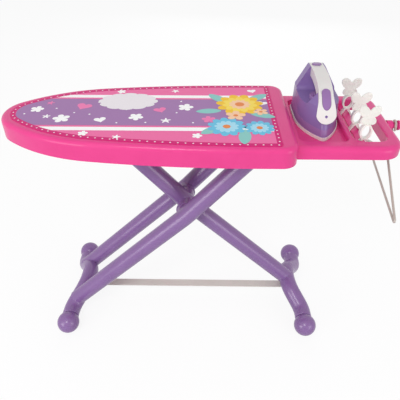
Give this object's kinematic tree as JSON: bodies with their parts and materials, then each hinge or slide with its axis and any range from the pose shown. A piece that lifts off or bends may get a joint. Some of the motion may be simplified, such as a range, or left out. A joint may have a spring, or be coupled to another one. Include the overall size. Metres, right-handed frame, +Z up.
{
  "type": "toy ironing board",
  "caption": "Toy ironing board with a printed cover on crossed folding legs with ball feet, and a tray with a toy iron, butterfly pegs on a rail and a clothes hanger.",
  "frame": {"origin": "on the floor, under the middle of the whole object's box", "axes": "+X from the round nose to the tray end along the board, +Y to the far side, +Z up from the floor"},
  "size_m": [0.7633, 0.2972, 0.5711],
  "materials": {
    "board_pink": "gloss moulded pink",
    "cover_print": "printed satin sheet",
    "leg_purple": "gloss moulded purple",
    "grey_plastic": "satin light grey",
    "clip_white": "gloss off-white",
    "iron_purple": "gloss purple",
    "iron_white": "gloss white",
    "steel": "bright steel"
  },
  "bodies": {
    "board": {"board_shell": "board_pink", "printed_cover": "cover_print", "hanger_peg": "board_pink", "hinge_bracket_near": "board_pink", "hinge_bracket_far": "board_pink", "hinge_axle": "steel", "slide_rail_near": "board_pink", "slide_rail_far": "board_pink", "bracket_screws": "steel", "rail_screws": "steel"},
    "outer_leg_frame": {"outer_leg_near": "leg_purple", "outer_leg_far": "leg_purple", "outer_foot_bar": "leg_purple", "outer_ball_foot_near": "leg_purple", "outer_ball_foot_far": "leg_purple", "pivot_pin": "leg_purple", "strap_pin": "leg_purple"},
    "inner_leg_frame": {"inner_leg": "leg_purple", "inner_foot_bar": "leg_purple", "inner_ball_foot_near": "leg_purple", "inner_ball_foot_far": "leg_purple", "inner_slide_bar": "steel", "strap_stud": "leg_purple"},
    "strap": {"link_strap": "grey_plastic"},
    "iron": {"iron_soleplate": "iron_white", "iron_skirt": "iron_purple", "iron_body_left": "iron_purple", "iron_body_right": "iron_purple", "iron_handle": "iron_white", "iron_spray_nozzle": "iron_purple", "iron_screws": "steel", "iron_thumb_spring": "steel", "iron_spray_spring": "steel"},
    "dial": {"iron_dial": "iron_white"},
    "thumb_button": {"iron_thumb_button": "iron_purple"},
    "spray_button": {"iron_spray_button": "iron_purple"},
    "back_clip": {"clip_back": "clip_white"},
    "middle_clip": {"clip_middle": "clip_white"},
    "front_clip": {"clip_front": "clip_white"},
    "hanger": {"clothes_hanger": "grey_plastic"}
  },
  "joints": [
    {"name": "legs_fold", "type": "hinge", "parent": "board", "child": "outer_leg_frame", "pos_m": [0.11499, 0, 0.46506], "axis": [0, 1, 0], "range_deg": [0, 40]},
    {"name": "legs_cross", "type": "hinge", "parent": "outer_leg_frame", "child": "inner_leg_frame", "pos_m": [-0.039, 0, 0.291], "axis": [0, 1, 0], "range_deg": [-80, 0]},
    {"name": "strap_swing", "type": "hinge", "parent": "outer_leg_frame", "child": "strap", "pos_m": [-0.28346, 0, 0.032], "axis": [0, 1, 0], "range_deg": [0, 90]},
    {"name": "iron_lift", "type": "slide", "parent": "board", "child": "iron", "axis": [0, 0, 1], "range_m": [0, 0.12]},
    {"name": "dial_turn", "type": "hinge", "parent": "iron", "child": "dial", "pos_m": [0.2117, 0.004, 0.53], "axis": [0, 0, 1], "range_deg": [-60, 60]},
    {"name": "thumb_press", "type": "slide", "parent": "iron", "child": "thumb_button", "axis": [0, 0, -1], "range_m": [0, 0.0015], "stiffness_N_per_m": 200, "springref_m": -0.001, "deforming": ["iron_thumb_spring"]},
    {"name": "spray_press", "type": "slide", "parent": "iron", "child": "spray_button", "axis": [0, 0, -1], "range_m": [0, 0.0015], "stiffness_N_per_m": 200, "springref_m": -0.001, "deforming": ["iron_spray_spring"]},
    {"name": "back_clip_lift", "type": "slide", "parent": "board", "child": "back_clip", "axis": [0, 0, 1], "range_m": [0, 0.06]},
    {"name": "middle_clip_lift", "type": "slide", "parent": "board", "child": "middle_clip", "axis": [0, 0, 1], "range_m": [0, 0.06]},
    {"name": "front_clip_lift", "type": "slide", "parent": "board", "child": "front_clip", "axis": [0, 0, 1], "range_m": [0, 0.06]},
    {"name": "hanger_swing", "type": "hinge", "parent": "board", "child": "hanger", "pos_m": [0.361, 0, 0.475], "axis": [1, 0, 0], "range_deg": [-25, 25]}
  ],
  "couplings": [
    {"joint": "legs_cross", "follows": "legs_fold", "ratio": -2}
  ]
}
